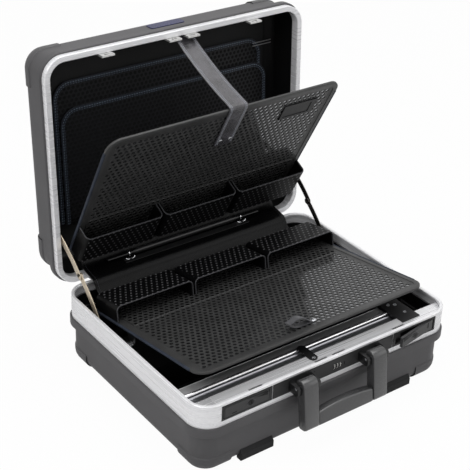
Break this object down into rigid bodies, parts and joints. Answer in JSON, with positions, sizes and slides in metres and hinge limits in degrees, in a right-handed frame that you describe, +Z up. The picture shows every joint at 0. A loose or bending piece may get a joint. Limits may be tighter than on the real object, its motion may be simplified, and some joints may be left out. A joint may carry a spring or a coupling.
{
  "type": "hard tool case",
  "caption": "Open hard-shell tool case with aluminium frames, hinged lid with pockets, two perforated tool boards with holders, latches, combination lock and carrying handle.",
  "frame": {"origin": "centre of the case's underside", "axes": "+X along the front to the viewer's right, -Y towards the handle side, +Z up"},
  "size_m": [0.486, 0.5253, 0.495],
  "materials": {
    "shell_plastic": "fine-grained moulded plastic",
    "frame_alloy": "satin anodised",
    "steel_parts": "satin",
    "black_plastic": "matt moulded",
    "bumper_rubber": "matt",
    "stay_nickel": "satin nickel",
    "board_plastic": "pebbled",
    "soft_leather": "smooth leatherette",
    "pocket_mesh": "knitted mesh",
    "lining_fabric": "felt",
    "cord_fabric": "elastic cord",
    "bright_metal": "polished",
    "blank_plate": "gloss"
  },
  "bodies": {
    "base": {"base_shell": "shell_plastic", "base_frame": "frame_alloy", "lock_rail": "frame_alloy", "front_divider": "frame_alloy", "divider_block": "black_plastic", "block_screws": "steel_parts", "divider_clip": "black_plastic", "middle_divider": "black_plastic", "rear_divider": "black_plastic", "cross_divider": "black_plastic", "floor_mat": "lining_fabric", "lock_plate": "black_plastic", "wheel_axle": "steel_parts", "handle_bracket_left": "black_plastic", "handle_bracket_right": "black_plastic", "handle_pins": "steel_parts", "latch_housing_left": "black_plastic", "latch_housing_right": "black_plastic", "latch_pins": "steel_parts", "front_bumpers": "bumper_rubber", "base_hinge_leaves": "stay_nickel", "hinge_pins": "stay_nickel", "stay_base_rivets": "stay_nickel", "board_studs": "steel_parts"},
    "lid": {"lid_shell": "shell_plastic", "lid_frame": "frame_alloy", "lid_hinge_leaves": "stay_nickel", "lid_catches": "steel_parts", "lid_lining": "lining_fabric", "upper_pocket": "pocket_mesh", "lower_pocket": "pocket_mesh", "pocket_cords": "cord_fabric", "name_plate": "blank_plate", "stay_lid_rivets": "stay_nickel", "lid_strap": "soft_leather"},
    "lower_tray": {"lower_board": "board_plastic", "lower_holders": "black_plastic", "board_carriers": "black_plastic", "pull_loop": "soft_leather", "loop_stud": "bright_metal"},
    "upper_tray": {"upper_board": "board_plastic", "upper_holders": "black_plastic", "label_holder": "black_plastic"},
    "spine_fold": {"spine": "soft_leather", "carry_strap": "soft_leather", "carry_rings": "bright_metal"},
    "base_link_left": {"stay_lower_left": "stay_nickel"},
    "base_link_right": {"stay_lower_right": "stay_nickel"},
    "lid_link_left": {"stay_upper_left": "stay_nickel"},
    "lid_link_right": {"stay_upper_right": "stay_nickel"},
    "handle": {"handle_arm_left": "shell_plastic", "handle_arm_right": "shell_plastic", "handle_grip": "shell_plastic"},
    "latch_left": {"latch_lever_left": "black_plastic"},
    "latch_right": {"latch_lever_right": "black_plastic"},
    "key_left": {"key_cylinder_left": "steel_parts"},
    "key_right": {"key_cylinder_right": "steel_parts"},
    "wheel_1": {"number_wheel_1": "black_plastic"},
    "wheel_2": {"number_wheel_2": "black_plastic"},
    "wheel_3": {"number_wheel_3": "black_plastic"}
  },
  "joints": [
    {"name": "lid_hinge", "type": "hinge", "parent": "base", "child": "lid", "pos_m": [0, 0.1915, 0.114], "axis": [1, 0, 0], "range_deg": [0, 93], "deforming": ["lid_strap", "spine"]},
    {"name": "lower_tray_rock", "type": "hinge", "parent": "base", "child": "lower_tray", "pos_m": [0, 0.02823, 0.10002], "axis": [1, 0, 0], "range_deg": [0, 9.5]},
    {"name": "upper_tray_fold", "type": "hinge", "parent": "lid", "child": "upper_tray", "pos_m": [0, 0.24354, 0.07618], "axis": [1, 0, 0], "range_deg": [-30.6, 0]},
    {"name": "spine_turn", "type": "hinge", "parent": "lower_tray", "child": "spine_fold", "pos_m": [0, 0.13117, 0.10345], "axis": [1, 0, 0], "range_deg": [0, 23.1]},
    {"name": "handle_swing", "type": "hinge", "parent": "base", "child": "handle", "pos_m": [0, -0.205, 0.109], "axis": [-1, 0, 0], "range_deg": [0, 87]},
    {"name": "latch_left_turn", "type": "hinge", "parent": "base", "child": "latch_left", "pos_m": [-0.198, -0.186, 0.1055], "axis": [0, 0, -1], "range_deg": [0, 40]},
    {"name": "latch_right_turn", "type": "hinge", "parent": "base", "child": "latch_right", "pos_m": [0.198, -0.186, 0.1055], "axis": [0, 0, 1], "range_deg": [-10, 30]},
    {"name": "key_left_turn", "type": "hinge", "parent": "latch_left", "child": "key_left", "pos_m": [-0.154, -0.186, 0.1055], "axis": [0, 1, 0], "range_deg": [0, 90]},
    {"name": "key_right_turn", "type": "hinge", "parent": "latch_right", "child": "key_right", "pos_m": [0.15467, -0.19364, 0.1055], "axis": [-0.1736, 0.9848, 0], "range_deg": [0, 90]},
    {"name": "wheel_1_turn", "type": "hinge", "parent": "base", "child": "wheel_1", "pos_m": [-0.0006, -0.1824, 0.104], "axis": [1, 0, 0], "continuous": true},
    {"name": "wheel_2_turn", "type": "hinge", "parent": "base", "child": "wheel_2", "pos_m": [0.005, -0.1824, 0.104], "axis": [1, 0, 0], "continuous": true},
    {"name": "wheel_3_turn", "type": "hinge", "parent": "base", "child": "wheel_3", "pos_m": [0.0106, -0.1824, 0.104], "axis": [1, 0, 0], "continuous": true},
    {"name": "base_link_left_turn", "type": "hinge", "parent": "base", "child": "base_link_left", "pos_m": [-0.2258, 0.1, 0.0975], "axis": [1, 0, 0], "range_deg": [0, 91.6]},
    {"name": "lid_link_left_turn", "type": "hinge", "parent": "lid", "child": "lid_link_left", "pos_m": [-0.228, 0.21138, 0.19908], "axis": [1, 0, 0], "range_deg": [-148.3, 0]},
    {"name": "base_link_right_turn", "type": "hinge", "parent": "base", "child": "base_link_right", "pos_m": [0.2258, 0.1, 0.0975], "axis": [1, 0, 0], "range_deg": [0, 91.6]},
    {"name": "lid_link_right_turn", "type": "hinge", "parent": "lid", "child": "lid_link_right", "pos_m": [0.228, 0.21138, 0.19908], "axis": [1, 0, 0], "range_deg": [-148.3, 0]}
  ],
  "couplings": [
    {"joint": "lower_tray_rock", "follows": "lid_hinge", "ratio": 0.10108},
    {"joint": "upper_tray_fold", "follows": "lid_hinge", "ratio": -0.32796},
    {"joint": "spine_turn", "follows": "lid_hinge", "ratio": 0.24731},
    {"joint": "base_link_left_turn", "follows": "lid_hinge", "ratio": 0.9834},
    {"joint": "lid_link_left_turn", "follows": "lid_hinge", "ratio": -1.5928},
    {"joint": "base_link_right_turn", "follows": "lid_hinge", "ratio": 0.9834},
    {"joint": "lid_link_right_turn", "follows": "lid_hinge", "ratio": -1.5928}
  ]
}
